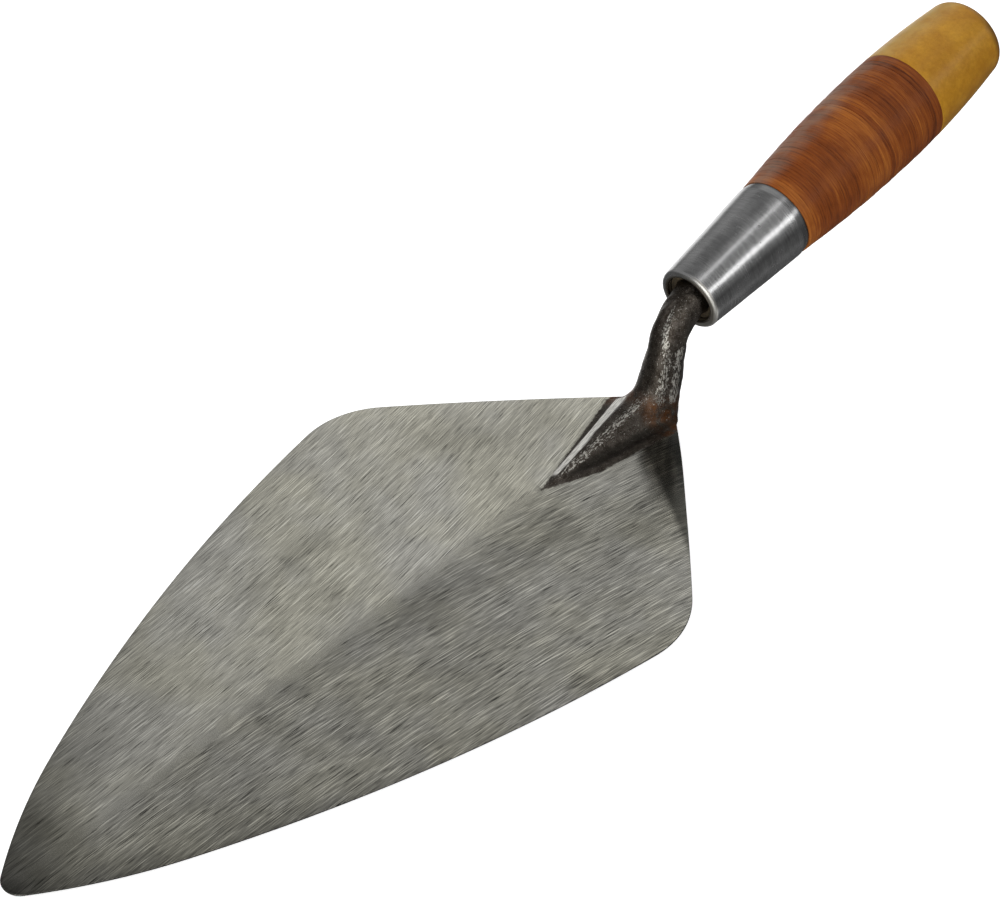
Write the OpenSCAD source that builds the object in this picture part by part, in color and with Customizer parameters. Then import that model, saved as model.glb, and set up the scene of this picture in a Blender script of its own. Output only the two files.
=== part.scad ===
// Brick trowel: a forged steel blade with a cranked shank, and a leather-washer handle
// held between a tapered steel ferrule and an amber butt cap.
//
// Frame: the origin is on the flat underside of the blade, at the middle of its heel.
// +X runs along the blade to its toe, +Y to the left of a user who looks at the toe,
// and +Z up from the blade to the handle's side.

/* [Blade] */

// Length of the blade from heel to toe
blade_length = 279.4; // [240:0.1:310]
// Width of the blade across its shoulders
blade_width = 140.8; // [110:0.1:150]
// Thickness of the blade at its heel
heel_thickness = 1.5; // [1.2:0.1:3]
// Thickness of the blade at its toe
toe_thickness = 1; // [0.6:0.1:1.2]

/* [Blade outline] */

// Radius of the rounded toe
toe_radius = 5.7; // [3:0.1:12]
// Angle that the toe turns through on each side
toe_turn = 53.4; // [45:0.1:60]
// Radius of the front part of each long edge
front_edge_radius = 193; // [150:1:300]
// Angle that the front part of each long edge turns through
front_edge_turn = 13.3; // [8:0.1:16]
// Radius of the rear part of each long edge
rear_edge_radius = 620; // [400:5:900]
// Angle that the rear part of each long edge turns through
rear_edge_turn = 14.3; // [8:0.1:18]
// Radius of the shoulders
shoulder_radius = 32.7; // [15:0.1:50]
// Angle that the shoulders turn through
shoulder_turn = 49.2; // [40:0.1:55]
// Radius of each nearly straight heel edge
heel_edge_radius = 1140; // [600:10:2000]
// Angle that each heel edge turns through
heel_edge_turn = 4.1; // [1:0.1:6]

/* [Shank] */

// Distance of the shank's foot in front of the heel
foot_x = 4.7; // [3:0.1:10]
// Radius of the shank where it leaves the blade
foot_radius = 8; // [6:0.1:10]
// Radius of the shank at its bend and where it enters the ferrule
neck_radius = 5.9; // [4:0.1:7]
// Backward lean of the shank from upright, in degrees
shank_lean = 9.7; // [0:0.1:15]
// Height above the underside where the lines of the shank and the handle meet
neck_height = 36; // [30:0.5:50]
// Radius of the bend's centre line
bend_radius = 15.4; // [12:0.1:20]
// Radius of the short flare around the shank's foot
flare_radius = 9.4; // [8.5:0.1:12]
// Height of that flare
flare_height = 4.5; // [3:0.1:8]

/* [Spur] */

// Distance of the spur's tip in front of the heel
spur_tip_x = 57.5; // [40:0.5:80]
// Half angle of the cone that the spur is cut from, in degrees
spur_half_angle = 12.5; // [8:0.1:14]
// Backward dip of that cone's centre line, in degrees
spur_dip = 4; // [2:0.1:6]

/* [Handle] */

// Upward tilt of the handle towards its butt, in degrees
handle_tilt = 11.5; // [5:0.1:20]
// Distance from the meeting point of the two lines back to the ferrule's mouth
ferrule_setback = 7; // [5:0.1:12]
// Whole length of the handle, from the ferrule's mouth to the butt's end face
handle_length = 149.3; // [130:0.1:170]
// Radius of the handle at its belly
belly_radius = 17.2; // [15:0.1:20]
// Distance of the belly from the ferrule's mouth
belly_at = 101; // [90:1:120]
// Radius of the leather where it meets the ferrule
grip_front_radius = 13.9; // [13:0.1:14.5]
// Radius that the handle would have at its butt with no rounding
butt_radius = 13.9; // [12:0.1:16]
// Radius of the rounding around the butt's end face
butt_rounding = 4.5; // [2:0.1:8]

/* [Ferrule] */

// Length of the ferrule
ferrule_length = 44; // [35:0.5:55]
// Outer radius of the ferrule at its mouth
mouth_radius = 10.9; // [10:0.1:13]
// Radius of the hole in the ferrule's mouth
mouth_hole_radius = 8.4; // [7:0.1:9]
// Greatest outer radius of the ferrule, just before its crimped rear end
ferrule_rear_radius = 13.9; // [13.5:0.1:16]
// Length of the crimped rear end
crimp_length = 3; // [2:0.1:6]
// Outer radius at the end of the crimp
crimp_radius = 13.6; // [13:0.1:14]
// Wall thickness of the ferrule
ferrule_wall = 1.6; // [1:0.1:2]

/* [Leather washers] */

// Number of leather washers
washer_count = 24; // [20:1:28]
// Length of the whole stack of washers
stack_length = 67; // [60:0.5:80]
// Share by which a washer may be thinner or thicker than the average
washer_spread = 0.2; // [0:0.05:0.3]

/* [Fits] */

// Gap around a piece that sits in a hole
hole_gap = 0.05; // [0.02:0.01:0.2]
// Gap between the faces of pieces that are pressed together
face_gap = 0.02; // [0.01:0.01:0.05]
// Gap between the plug's rear face and the crimp
plug_rear_gap = 0.5; // [0.2:0.1:1]
// Gap between the tang's tip and the bottom of its hole
tang_tip_gap = 1; // [0.5:0.1:2]

/* [Plug] */

// Distance of the plug's front face from the ferrule's mouth
plug_start = 2; // [2:0.1:8]
// Depth of the countersink at the front of the plug's hole, which clears the shank's bend
countersink_depth = 2; // [1:0.1:4]
// Extra radius of that countersink at its rim
countersink_flare = 0.6; // [0.3:0.1:1.5]

/* [Hidden] */

// Largest distance between an outline's arcs and its straight steps
chord_error = 0.04;
// Straight steps down the side of the cap, and degrees in each step of its rounding
cap_side_steps = 8;
rounding_step = 10;
// Facets around round parts
$fn = 96;
// Roundings of the ferrule's mouth and of its crimped end
lip_rounding = 1.2;
// Taller and wider than anything that stands on the blade
clear_height = 60;
// How far shapes that make up one piece run into each other, and the small step where they meet
overlap = 0.6;
step = 0.04;
// How far cutting shapes reach past the faces that they cut
cut = 1;

// ---- blade outline ----

// Steps in an arc, so that no step strays further than the chord error.
function arc_steps(radius, turn) = ceil(turn / (2 * acos(1 - chord_error / radius)));

// Points along an arc that starts at p in a heading and turns left.
function arc_points(p, heading, radius, turn) =
    let (steps = arc_steps(radius, turn))
    [for (i = [1:steps])
        let (now = heading + turn * i / steps)
        p + radius * [sin(now) - sin(heading), cos(heading) - cos(now)]];

// Points along a chain of [radius, turn] arcs, each tangent to the one before.
function arc_chain(arcs, p, heading, at = 0) =
    at == len(arcs) ? [] :
    let (points = arc_points(p, heading, arcs[at][0], arcs[at][1]))
    concat(points, arc_chain(arcs, points[len(points) - 1], heading + arcs[at][1], at + 1));

edge_arcs = [
    [toe_radius, toe_turn],
    [front_edge_radius, front_edge_turn],
    [rear_edge_radius, rear_edge_turn],
    [shoulder_radius, shoulder_turn],
    [heel_edge_radius, heel_edge_turn],
];
edge = arc_chain(edge_arcs, [0, 0], 90);
edge_end = edge[len(edge) - 1];
edge_end_heading = 90 + toe_turn + front_edge_turn + rear_edge_turn + shoulder_turn + heel_edge_turn;
// The last arc rounds the heel's corner and ends square to the centre line.
heel_radius = -edge_end[1] / cos(edge_end_heading);
left_edge = concat([[0, 0]], edge,
                   arc_points(edge_end, edge_end_heading, heel_radius, 270 - edge_end_heading));

drawn_length = -left_edge[len(left_edge) - 1][0];
drawn_width = 2 * max([for (p = left_edge) p[1]]);
left_outline = [for (p = left_edge)
    [blade_length * (1 + p[0] / drawn_length), blade_width * p[1] / drawn_width]];
// The right side mirrors the left one without the two points on the centre line.
right_outline = [for (i = [len(left_outline) - 2:-1:1]) [left_outline[i][0], -left_outline[i][1]]];

// ---- handle line ----

// The shank's line and the handle's line meet here, in the x-z plane.
corner = [foot_x - neck_height * tan(shank_lean), neck_height];
shank_along = [-sin(shank_lean), cos(shank_lean)];
handle_along = [-cos(handle_tilt), sin(handle_tilt)];
// Angle between the two lines, and the length that the bend takes from each.
bend_turn = 90 - shank_lean - handle_tilt;
bend_tangent = bend_radius * tan(bend_turn / 2);
shank_length = neck_height / cos(shank_lean) - bend_tangent;
bend_start = corner - bend_tangent * shank_along;
bend_centre = bend_start - bend_radius * [cos(shank_lean), sin(shank_lean)];
mouth = corner + ferrule_setback * handle_along;

// ---- places along the handle, from the ferrule's mouth ----

tang_start = bend_tangent - ferrule_setback;
tang_end_radius = 3;
tang_in_cap = 20;
crimp_start = ferrule_length - crimp_length;
plug_end = crimp_start - plug_rear_gap;
stack_start = ferrule_length + face_gap;
cap_start = stack_start + stack_length + face_gap;
tang_end = cap_start + tang_in_cap;

// Radius of the tang at a place along the handle.
function tang_radius(s) =
    neck_radius + (tang_end_radius - neck_radius) * (s - tang_start) / (tang_end - tang_start);

// Radius of the ferrule's tapered bore at a place along the handle.
bore_rear_radius = ferrule_rear_radius - ferrule_wall;
function bore_radius(s) =
    mouth_hole_radius
    + (bore_rear_radius - mouth_hole_radius) * (s - plug_start) / (crimp_start - plug_start);

// Outer radius of the grip and the cap: the belly falls away evenly towards both ends.
function grip_radius(s) =
    s < belly_at
        ? belly_radius
          - (belly_radius - grip_front_radius) * pow((belly_at - s) / (belly_at - ferrule_length), 2)
        : belly_radius
          - (belly_radius - butt_radius) * pow((s - belly_at) / (handle_length - belly_at), 2);

// Washers differ a little in thickness, by a fixed rule, and together fill the stack.
golden_angle = 137.5;
function washer_weight(i) = 1 + washer_spread * sin(golden_angle * i);
washer_weights = [for (i = [1:washer_count]) washer_weight(i)];
function sum_to(list, count) = count == 0 ? 0 : list[count - 1] + sum_to(list, count - 1);
function washer_start(i) =
    stack_start + stack_length * sum_to(washer_weights, i - 1) / sum_to(washer_weights, washer_count);

function two_digits(i) = i < 10 ? str("0", i) : str(i);
function washer_name(i) = str("leather_washer_", two_digits(i));

// ---- colours ----

steel = [0.52, 0.52, 0.50];
ferrule_steel = [0.62, 0.62, 0.63];
plug_wood = [0.45, 0.36, 0.20];
leather = [0.50, 0.24, 0.09];
leather_light = [0.60, 0.32, 0.12];
amber = [0.72, 0.50, 0.16];

// Moves local +Z onto the handle's line, with zero at the ferrule's mouth.
module along_handle() {
    translate([mouth[0], 0, mouth[1]])
        rotate([0, handle_tilt - 90, 0])
            children();
}

module blade_outline() {
    polygon(concat(left_outline, right_outline));
}

// The blade is flat below, and its top slopes down from the heel to the toe.
module blade() {
    intersection() {
        linear_extrude(height = heel_thickness) blade_outline();
        rotate([90, 0, 0])
            linear_extrude(height = 2 * blade_width, center = true)
                polygon([[-cut, -cut], [blade_length + cut, -cut], [blade_length + cut, toe_thickness],
                         [blade_length, toe_thickness], [0, heel_thickness], [-cut, heel_thickness]]);
    }
}

// A low ridge that runs forward from the shank's foot and dies out in the blade.
module spur() {
    spur_length = spur_tip_x - foot_x;
    intersection() {
        translate([spur_tip_x, 0, toe_thickness])
            rotate([0, -90 - spur_dip, 0])
                cylinder(h = spur_length, r1 = 0, r2 = spur_length * tan(spur_half_angle));
        linear_extrude(height = clear_height) blade_outline();
    }
}

module shank() {
    translate([foot_x, 0, 0])
        rotate([0, -shank_lean, 0]) {
            cylinder(h = shank_length + overlap, r1 = foot_radius, r2 = neck_radius + step);
            cylinder(h = flare_height, r1 = flare_radius, r2 = foot_radius - overlap);
        }
    translate([bend_centre[0], 0, bend_centre[1]])
        rotate([90, 0, 0])
            rotate([0, 0, shank_lean])
                rotate_extrude(angle = bend_turn)
                    translate([bend_radius, 0])
                        circle(r = neck_radius);
}

module tang() {
    along_handle()
        translate([0, 0, tang_start - overlap])
            cylinder(h = tang_end - tang_start + overlap, r1 = neck_radius - step, r2 = tang_end_radius);
}

// Blade, spur, shank and tang are one forging.
module blade_and_tang() {
    color(steel)
        difference() {
            union() {
                blade();
                spur();
                shank();
                tang();
            }
            translate([foot_x, 0, -clear_height / 2])
                cube(clear_height, center = true);
        }
}

// A tapered tube with a rounded lip at its mouth and a crimped rear end.
module ferrule() {
    color(ferrule_steel)
        along_handle()
            difference() {
                rotate_extrude()
                    union() {
                        polygon([[0, 0], [mouth_radius - lip_rounding, 0], [mouth_radius, lip_rounding],
                                 [ferrule_rear_radius, crimp_start], [crimp_radius, ferrule_length],
                                 [0, ferrule_length]]);
                        translate([mouth_radius - lip_rounding, lip_rounding])
                            circle(r = lip_rounding);
                    }
                translate([0, 0, -cut])
                    cylinder(h = plug_start + cut, r = mouth_hole_radius);
                translate([0, 0, plug_start - overlap])
                    cylinder(h = crimp_start - plug_start + overlap, r1 = mouth_hole_radius,
                             r2 = bore_rear_radius);
                translate([0, 0, crimp_start - overlap])
                    cylinder(h = crimp_length + overlap + cut, r = crimp_radius - ferrule_wall);
            }
}

// A wooden plug that centres the tang inside the ferrule.
module ferrule_plug() {
    hole_radius = neck_radius + hole_gap;
    color(plug_wood)
        along_handle()
            difference() {
                translate([0, 0, plug_start])
                    cylinder(h = plug_end - plug_start, r1 = mouth_hole_radius - hole_gap,
                             r2 = bore_radius(plug_end) - hole_gap);
                translate([0, 0, plug_start - cut])
                    cylinder(h = plug_end - plug_start + 2 * cut, r = hole_radius);
                translate([0, 0, plug_start])
                    cylinder(h = countersink_depth, r1 = hole_radius + countersink_flare,
                             r2 = hole_radius - step);
            }
}

// A punched disc of leather, turned to the handle's profile.
module leather_washer(i) {
    start = washer_start(i);
    end = washer_start(i + 1) - face_gap;
    middle = (start + end) / 2;
    color(i % 2 == 0 ? leather : leather_light)
        along_handle()
            difference() {
                rotate_extrude()
                    polygon([[0, start], [grip_radius(start), start], [grip_radius(middle), middle],
                             [grip_radius(end), end], [0, end]]);
                translate([0, 0, start - cut])
                    cylinder(h = end - start + 2 * cut, r = tang_radius(start) + hole_gap);
            }
}

// The butt: a solid turned cap with a blind hole for the tang's end.
module butt_cap() {
    color(amber)
        along_handle()
            difference() {
                rotate_extrude() cap_profile();
                translate([0, 0, cap_start - cut])
                    cylinder(h = tang_in_cap + tang_tip_gap + cut, r = tang_radius(cap_start) + hole_gap);
            }
}

// Points down the side of the handle, from one place along it to another.
function grip_points(from, to, steps) =
    [for (i = [0:steps]) let (s = from + (to - from) * i / steps) [grip_radius(s), s]];

// Half section of the cap, with its end edge rounded by a quarter arc.
module cap_profile() {
    rounding_start = handle_length - butt_rounding;
    rounding_radius = grip_radius(rounding_start) - butt_rounding;
    polygon(concat([[0, cap_start]],
                   grip_points(cap_start, rounding_start, cap_side_steps),
                   [for (a = [rounding_step:rounding_step:90])
                       [rounding_radius + butt_rounding * cos(a), rounding_start + butt_rounding * sin(a)]],
                   [[0, handle_length]]));
}

washer_names = [for (i = [1:washer_count]) washer_name(i)];

blade_and_tang();
ferrule();
ferrule_plug();
for (i = [1:washer_count]) {
    leather_washer(i);
}
butt_cap();
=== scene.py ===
"""Brick trowel: forged steel blade and shank, steel ferrule, leather-washer grip, amber butt cap."""

import math

import bmesh
import bpy
import numpy as np
from mathutils import Matrix, Vector
from mathutils.geometry import delaunay_2d_cdt


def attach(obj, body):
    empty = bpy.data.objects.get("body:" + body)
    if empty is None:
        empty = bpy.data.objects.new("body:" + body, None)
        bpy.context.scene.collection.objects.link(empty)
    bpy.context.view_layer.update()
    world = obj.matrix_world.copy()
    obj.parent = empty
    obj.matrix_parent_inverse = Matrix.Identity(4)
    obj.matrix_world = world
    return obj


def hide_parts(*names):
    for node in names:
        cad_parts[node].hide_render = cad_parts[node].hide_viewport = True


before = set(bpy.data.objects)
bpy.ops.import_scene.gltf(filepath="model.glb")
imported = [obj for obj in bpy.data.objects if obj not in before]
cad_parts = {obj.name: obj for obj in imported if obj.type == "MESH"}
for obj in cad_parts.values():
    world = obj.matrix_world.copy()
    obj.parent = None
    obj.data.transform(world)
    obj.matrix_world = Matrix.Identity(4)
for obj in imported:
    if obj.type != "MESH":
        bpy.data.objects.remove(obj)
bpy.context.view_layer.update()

# Lengths below are in millimetres; meshes are scaled to metres as they are made.
MM = 0.001


# ---------------------------------------------------------------- sizes read from the frame


def node_points(node):
    """The distinct vertices of a CAD node."""
    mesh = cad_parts[node].data
    flat = np.empty(len(mesh.vertices) * 3)
    mesh.vertices.foreach_get("co", flat)
    return np.unique((flat.reshape(-1, 3) / MM).round(4), axis=0)


def unit(vector):
    return np.asarray(vector, float) / np.linalg.norm(vector)


washer_nodes = sorted(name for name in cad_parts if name.startswith("leather_washer_"))
first_washer = node_points(washer_nodes[0]).mean(0)
last_washer = node_points(washer_nodes[-1]).mean(0)
handle_along = unit(last_washer - first_washer)
handle_left = np.array([0.0, 1.0, 0.0])
handle_over = unit(np.cross(handle_along, handle_left))
mouth_distance = ((node_points("ferrule") - first_washer) @ handle_along).min()
mouth = first_washer + mouth_distance * handle_along


def end_radii(node):
    """Where a node on the handle starts and ends, its outer radius at both ends, and its hole's radius."""
    offset = node_points(node) - mouth
    along = offset @ handle_along
    radius = np.linalg.norm(offset - along[:, None] * handle_along, axis=1)
    start, end = along.min(), along.max()
    near = 0.05
    return start, end, radius[along < start + near].max(), radius[along > end - near].max(), radius.min()


blade_points = node_points("blade_and_tang")
blade_length = blade_points[:, 0].max()
blade_half_width = blade_points[:, 1].max()
tang_end = ((blade_points - mouth) @ handle_along).max()


# ---------------------------------------------------------------- mesh helpers


def tidy_mesh(mesh):
    """Merges doubled points, drops what then has no area, and turns every face outwards."""
    work = bmesh.new()
    work.from_mesh(mesh)
    bmesh.ops.remove_doubles(work, verts=work.verts, dist=1e-7)
    bmesh.ops.dissolve_degenerate(work, edges=work.edges, dist=1e-8)
    loose = [edge for edge in work.edges if not edge.link_faces]
    bmesh.ops.delete(work, geom=loose, context="EDGES")
    bmesh.ops.recalc_face_normals(work, faces=work.faces)
    work.to_mesh(mesh)
    work.free()
    mesh.polygons.foreach_set("use_smooth", [True] * len(mesh.polygons))
    mesh.update()


def make_object(name, points, faces, material=None):
    """A smooth-shaded mesh object from points in millimetres."""
    mesh = bpy.data.meshes.new(name)
    mesh.from_pydata((np.asarray(points) * MM).tolist(), [], faces)
    tidy_mesh(mesh)
    piece = bpy.data.objects.new(name, mesh)
    bpy.context.scene.collection.objects.link(piece)
    if material is not None:
        mesh.materials.append(material)
    return piece


def fit_out(piece, slot, *nodes):
    """Puts a finished piece in the place of CAD nodes."""
    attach(piece, "root")
    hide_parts(*nodes)
    return piece


def fillet(before, corner, after, radius, steps=6):
    """Points of the rounding of a corner between two straight sides."""
    a, c, b = (np.asarray(p, float) for p in (before, corner, after))
    u, v = unit(a - c), unit(b - c)
    half = math.acos(np.clip(u @ v, -1, 1)) / 2
    reach = min(radius / math.tan(half), 0.49 * np.linalg.norm(a - c), 0.49 * np.linalg.norm(b - c))
    centre = c + unit(u + v) * reach / math.cos(half)
    start, end = c + u * reach - centre, c + v * reach - centre
    sweep = math.acos(np.clip(unit(start) @ unit(end), -1, 1))
    return [
        centre + (math.sin((1 - t) * sweep) * start + math.sin(t * sweep) * end) / math.sin(sweep)
        for t in np.linspace(0, 1, steps + 1)
    ]


def rounded_profile(corners, longest=1.5):
    """A closed profile from (along, radius, rounding) corners, its sides split into short steps."""
    points = []
    for i, (along, radius, rounding) in enumerate(corners):
        if rounding > 0:
            before, after = corners[i - 1], corners[(i + 1) % len(corners)]
            points += fillet(before[:2], (along, radius), after[:2], rounding)
        else:
            points.append(np.array([along, radius], float))
    split = []
    for a, b in zip(points, points[1:] + points[:1]):
        steps = max(1, math.ceil(np.linalg.norm(b - a) / longest))
        split += [a + (b - a) * i / steps for i in range(steps)]
    return np.array(split)


def lathe(name, profile, material, segments=160, wobble=None):
    """Turns a closed (along, radius) profile about the handle's line."""
    rows = len(profile)
    angle = np.tile(np.arange(segments) * 2 * math.pi / segments, rows)
    along = np.repeat(profile[:, 0], segments)
    radius = np.repeat(profile[:, 1], segments)
    if wobble is not None:
        radius = radius + wobble(along, angle, radius)
    around = np.cos(angle)[:, None] * handle_over + np.sin(angle)[:, None] * handle_left
    points = mouth + along[:, None] * handle_along + radius[:, None] * around
    faces = []
    for row in range(rows):
        here, there = row * segments, (row + 1) % rows * segments
        for i in range(segments):
            j = (i + 1) % segments
            faces.append((here + i, there + i, there + j, here + j))
    return make_object(name, points, faces, material)


def joined(name, solids):
    """One solid from several that run into each other."""
    first, *others = solids
    for other in others:
        union = first.modifiers.new("union", "BOOLEAN")
        union.operation = "UNION"
        union.solver = "EXACT"
        union.object = other
        bpy.context.view_layer.update()
        evaluated = first.evaluated_get(bpy.context.evaluated_depsgraph_get())
        mesh = bpy.data.meshes.new_from_object(evaluated)
        first.modifiers.clear()
        first.data = mesh
        bpy.data.objects.remove(other)
    first.name = first.data.name = name
    tidy_mesh(first.data)
    return first


# ---------------------------------------------------------------- forging: shapes as distance fields

FOOT = np.array([4.7, 0.0, 0.0])
FOOT_RADIUS = 8.0
NECK_RADIUS = 5.9
SHANK_LEAN = math.radians(9.7)
NECK_HEIGHT = 36.0
BEND_RADIUS = 15.4
TANG_END_RADIUS = 3.0
HEEL_THICKNESS = 1.5
TOE_THICKNESS = 1.0
# The forged skin is drawn in by this, so that its relief stays near the true shape.
SKIN_INSET = 0.05
# The rounding of the blade's rim, and the share of its thickness that it thins to over this distance.
RIM_ROUNDING = 0.25
RIM_SHARE = 0.6
RIM_REACH = 9.0
# Change in the height of the thinned edge for each millimetre from heel to toe.
EDGE_FALL = RIM_SHARE * (TOE_THICKNESS - HEEL_THICKNESS) / blade_length
# The heel edges leave the centre line at this slope, from a corner this far behind the heel.
HEEL_SLOPE = 0.98
HEEL_CORNER = 4.9
SPUR_TIP = 58.5
# The flat on the spur's right flank: its height at the origin, and its slopes along x and along y.
GROUND_PLANE = (14.14, -0.21, 0.90)
# The grinder stopped this far in front of the heel, and its cut rises behind that at this slope.
GROUND_START = 11.0
GROUND_RELEASE = 0.6
# The direction that the flat is shaded for: nearly up, so that all of it shines evenly.
GROUND_SHINE = (-0.10, 0.08, 0.99)
# The spur's height and half widths for each millimetre behind its tip, and its greatest half width.
SPUR_HEIGHT = 0.158
SPUR_LEFT = 0.14
SPUR_RIGHT = 0.30
SPUR_WIDEST = 12.8
# The tang's rounded front part goes this far into the ferrule, and its long taper starts before that.
TANG_FRONT_END = 7.0
TAPER_START = 4.5


def smooth_min(a, b, reach):
    """The smaller of two fields, with the crease between them filled over the given reach."""
    gap = np.maximum(reach - np.abs(a - b), 0) / reach
    return np.minimum(a, b) - gap * gap * reach / 4


def rod(p, start, end, start_radius, end_radius):
    """A tapered round rod with round ends."""
    axis = end - start
    t = np.clip((p - start) @ axis / (axis @ axis), 0, 1)
    nearest = start + t[:, None] * axis
    return np.linalg.norm(p - nearest, axis=1) - (start_radius + t * (end_radius - start_radius))


def bend(p, centre, first, second, sweep):
    """A round rod bent along an arc that starts at direction first and turns towards second."""
    offset = p - centre
    angle = np.clip(np.arctan2(offset @ second, offset @ first), 0, sweep)
    nearest = centre + BEND_RADIUS * (np.cos(angle)[:, None] * first + np.sin(angle)[:, None] * second)
    return np.linalg.norm(p - nearest, axis=1) - NECK_RADIUS


shank_along = np.array([-math.sin(SHANK_LEAN), 0.0, math.cos(SHANK_LEAN)])
shank_front = np.array([math.cos(SHANK_LEAN), 0.0, math.sin(SHANK_LEAN)])
neck_corner = FOOT + shank_along * NECK_HEIGHT / math.cos(SHANK_LEAN)
bend_sweep = math.acos(shank_along @ handle_along)
bend_tangent = BEND_RADIUS * math.tan(bend_sweep / 2)
bend_start = neck_corner - bend_tangent * shank_along
bend_centre = bend_start - BEND_RADIUS * shank_front
bend_end = neck_corner + bend_tangent * handle_along


def waves(p, shortest, longest, count, seed):
    """A smooth random field between about -1 and 1, as a sum of plane waves."""
    random = np.random.default_rng(seed)
    total = np.zeros(len(p))
    for _ in range(count):
        direction = unit(random.normal(size=3))
        length = random.uniform(shortest, longest)
        total += np.sin(p @ direction * 2 * math.pi / length + random.uniform(0, 2 * math.pi))
    return total / math.sqrt(count)


def shank_field(p):
    """Foot, leaning shank, bend and the front end of the tang, with soft hammered flats."""
    foot = rod(p, FOOT - shank_along * 6, bend_start, FOOT_RADIUS + 0.25, NECK_RADIUS)
    turn = bend(p, bend_centre, shank_front, shank_along, bend_sweep)
    tang = rod(p, bend_end, mouth + TANG_FRONT_END * handle_along, NECK_RADIUS, NECK_RADIUS - 0.1)
    round_shape = np.minimum(np.minimum(foot, turn), tang)
    side = np.arctan2(p[:, 1], (p - FOOT) @ shank_front + 2.0)
    fade = np.clip((p[:, 0] + 15) / 8, 0, 1)
    flats = 0.14 * np.cos(7 * side + 0.6)
    hammered = 0.15 * waves(p, 7, 13, 14, seed=3) + 0.05 * waves(p, 2.2, 4, 24, seed=4)
    return round_shape + fade * (flats + hammered) + SKIN_INSET


def heel_side(p):
    """Distance outside the two heel edges."""
    return (np.abs(p[:, 1]) - HEEL_SLOPE * (p[:, 0] + HEEL_CORNER)) / math.hypot(1, HEEL_SLOPE)


def ground_flank(p):
    """Distance outside the flat that the grinder left on the spur's right flank."""
    height, along, across = GROUND_PLANE
    behind = np.maximum(GROUND_START - p[:, 0], 0)
    plane = height + along * p[:, 0] + across * p[:, 1] + GROUND_RELEASE * behind
    return (p[:, 2] - plane) / math.sqrt(1 + along**2 + across**2)


def spur_field(p):
    """A low ridge in front of the foot, cut flat on its right flank by the grinder."""
    ahead = np.maximum(SPUR_TIP - p[:, 0], 0.01)
    right = p[:, 1] < 0
    # Behind its widest place the right side draws in again, to the foot.
    near_heel = np.maximum(4 + 0.62 * p[:, 0], 4)
    right_width = np.minimum(np.minimum(SPUR_RIGHT * ahead, SPUR_WIDEST), near_heel)
    half_width = np.where(right, right_width, SPUR_LEFT * ahead) + 0.1
    height = SPUR_HEIGHT * ahead
    rise = np.maximum(p[:, 2] - HEEL_THICKNESS + 0.4, 0)
    # A low power gives a nearly straight left flank, a higher one a fuller right flank and a soft crest.
    power = np.where(right, 1.5, 1.15 + 0.35 * np.clip(1 - np.abs(p[:, 1]) / 3, 0, 1))
    level = ((np.abs(p[:, 1]) / half_width) ** power + (rise / height) ** power) ** (1 / power)
    ridge = (level - 1) * np.minimum(half_width, height)
    ridge = ridge + 0.09 * waves(p, 5, 9, 12, seed=5) + 0.04 * waves(p, 1.8, 3, 20, seed=6)
    ends = np.maximum(p[:, 0] - SPUR_TIP, 5 - p[:, 0])
    return np.maximum(np.maximum(ridge, ends), np.maximum(ground_flank(p), heel_side(p) + 0.4))


def thinning(distance):
    """Share of the blade's full thickness at a distance from its edge."""
    share = np.clip((distance - RIM_ROUNDING) / RIM_REACH, 0, 1)
    return RIM_SHARE + (1 - RIM_SHARE) * share * (2 - share)


def top_height(x):
    """Height of the blade's top face, which falls evenly from heel to toe."""
    return HEEL_THICKNESS + (TOE_THICKNESS - HEEL_THICKNESS) * x / blade_length


def heel_field(p):
    """The blade near its heel: below its top, above its underside, and between its heel edges."""
    side = heel_side(p)
    top = p[:, 2] - top_height(p[:, 0]) * thinning(-side)
    return np.maximum(np.maximum(top, side + 0.1), -p[:, 2])


def forging_field(p):
    """Shank and spur, blended into the blade and cut off where the blend has died out."""
    shank, spur = shank_field(p), spur_field(p)
    body = smooth_min(shank, spur, 4.0)
    near_foot = np.clip((24 - np.linalg.norm(p - FOOT, axis=1)) / 12, 0, 1)
    near_tip = np.clip((p[:, 0] - 35) / 20, 0, 1)
    reach = 1.3 - 0.8 * near_tip + 1.1 * near_foot
    blended = smooth_min(body, heel_field(p), reach)
    local = np.maximum(blended, body - 0.85 * reach)
    return np.maximum(local, 0.03 - p[:, 2])


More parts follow.
